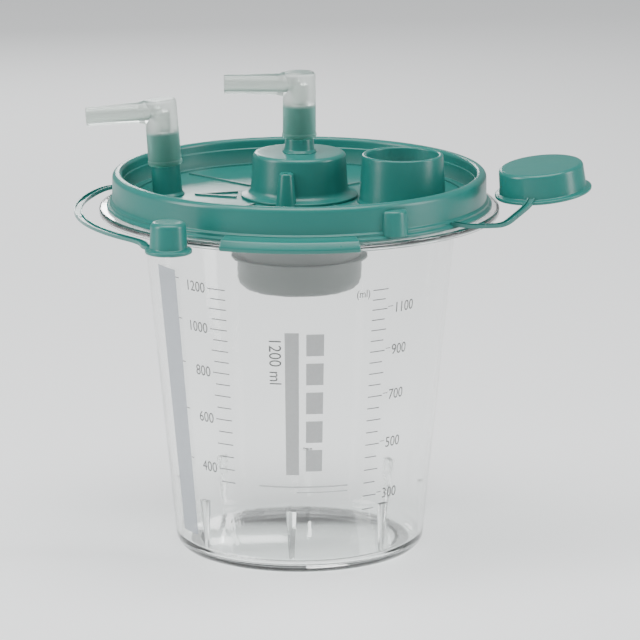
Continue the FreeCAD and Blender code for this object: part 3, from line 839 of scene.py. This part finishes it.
def tint_by_mask(material, mask_name, tint):
    """Mixes a tint into a material's colour wherever a mask on the mesh is set."""
    nodes = material.node_tree.nodes
    link = material.node_tree.links.new
    base = principled(material).inputs["Base Color"]
    mask = nodes.new("ShaderNodeAttribute")
    mask.attribute_name = mask_name
    mix = nodes.new("ShaderNodeMix")
    mix.data_type = "RGBA"
    mix.inputs["B"].default_value = (*tint, 1)
    link(mask.outputs["Fac"], mix.inputs["Factor"])
    link(base.links[0].from_socket, mix.inputs["A"])
    link(mix.outputs["Result"], base)


# painted show-through: the elbow's lower part, over the nipple, has teal painted into its colour in
# place of the nipple seen through the wall
tint_by_mask(milky, "painted_show_through", (0.22, 0.50, 0.44))
elbow_height = 27.9
arm_level = elbow_height - 5.2
arm_reach = 31.6
arm_radius = 4.05
arm_bore = 2.7
mouth_bore = 5.3
mouth_depth = 14.2
neck_bore = 3.1


def elbow(name):
    """A hollow elbow standing at the origin, its mouth down and its arm to -X."""
    body = turned(name, [
        (0, 0), (7.3, 0, 0.6), (7.3, 1.6, 0.7), (7.05, 2.2, 0.6), (6.95, neck_height - 0.6),
        (6.93, neck_height + 0.8), (6.8, elbow_height, 1.2), (0, elbow_height)], steps=96)
    arm = turned("arm", [
        (0, 0), (5.2, 0), (5.2, 6.9, 0.8), (4.55, 9.2, 2.2), (arm_radius, arm_reach - 8.0, 3.0),
        (arm_radius, arm_reach, 0.45), (0, arm_reach)], steps=72)
    settle(arm, place=(0, 0, arm_level), turn=(0, -90, 0))
    combine(body, arm, "UNION")
    bore = drill(arm_bore, 0, arm_reach + 2)
    settle(bore, place=(0, 0, arm_level), turn=(0, -90, 0))
    combine(body, bore, "DIFFERENCE")
    combine(body, drill(mouth_bore, -2, mouth_depth), "DIFFERENCE")
    combine(body, drill(neck_bore, 14, arm_level), "DIFFERENCE")
    smooth(body)
    # the mask marks the elbow's mouth, below the neck, for the painted teal show-through
    show_through_mask = body.data.attributes.new("painted_show_through", "FLOAT", "POINT")
    for vertex, mask in zip(body.data.vertices, show_through_mask.data):
        mask.value = 1.0 if vertex.co.z < neck_height * MM else 0.0
    return body


vacuum_elbow = elbow("vacuum_elbow_moulding")
settle(vacuum_elbow, place=(0, 0, vacuum_shoulder))
patient_elbow = elbow("patient_elbow_moulding")
settle(patient_elbow, place=(0, 0, patient_shoulder))
settle(patient_elbow, place=(port_x, port_y, floor_top), turn=(0, -port_lean, 0))
for piece, body in ((vacuum_elbow, "vacuum_elbow"), (patient_elbow, "patient_elbow")):
    piece.data.materials.append(milky)
    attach(piece, body)
    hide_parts(body)

# Valve housing: a grey sleeve under the lid and a cup pushed on to its foot, parted by
# a thin flange. Round holes in the cup's floor let fluid lift the float.
grey = moulded("grey_styrene", (0.105, 0.124, 0.116), 0.42, drift=0.08, edge=0.1, ripple=0.03)


def finish_grey(piece, node):
    """Makes a piece grey and fixes it to the lid in place of its CAD node."""
    piece.data.materials.append(grey)
    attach(piece, "lid")
    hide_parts(node)


sleeve = turned("housing_sleeve_tube", [
    (24.9, 127.5), (26.5, 127.5, 0.2), (26.5, 149.5), (24.9, 149.5)], steps=128)
finish_grey(sleeve, "housing_sleeve")
valve_cup = turned("housing_cup_moulding", [
    (0, 113.0), (26.1, 113.0, 5.0), (26.3, 126.3, 0.3), (28.8, 126.3, 0.35),
    (28.8, 127.5, 0.35), (24.5, 127.5, 0.2), (24.5, 114.6, 3.4), (0, 114.6)], steps=128)
combine(valve_cup, drill(4.0, 110, 118), "DIFFERENCE")
hole_radius = 2.6
hole_ring = 18.0
for index in range(6):
    hole_angle = math.radians(index * 60.0)
    hole_x = hole_ring * math.cos(hole_angle)
    hole_y = hole_ring * math.sin(hole_angle)
    combine(valve_cup, drill(hole_radius, 110, 118, hole_x, hole_y), "DIFFERENCE")
smooth(valve_cup)
finish_grey(valve_cup, "housing_cup")
refinish(grey, "float_cage", "seat_plate")

# Float: a white polypropylene bell that rises with the fluid and shuts the vacuum off
# against a soft black washer under the seat plate.
white = moulded("white_polypropylene", (0.80, 0.80, 0.77), 0.45, drift=0.04, edge=0.05, ripple=0.03)
refinish(white, "shutoff_float")
black = moulded(
    "seal_rubber", (0.025, 0.025, 0.026), 0.7, drift=0.2, edge=0.05, ripple=0.10, scale=120.0)
refinish(black, "valve_seat")

# Aerosol filter: a disc of open white foam that keeps droplets out of the vacuum
# line. It is held inside the turret, under the vacuum nipple.
foam = moulded("filter_foam", (0.80, 0.80, 0.75), 0.9, drift=0.3, edge=0.0, ripple=0.6, scale=600.0)
refinish(foam, "aerosol_filter")
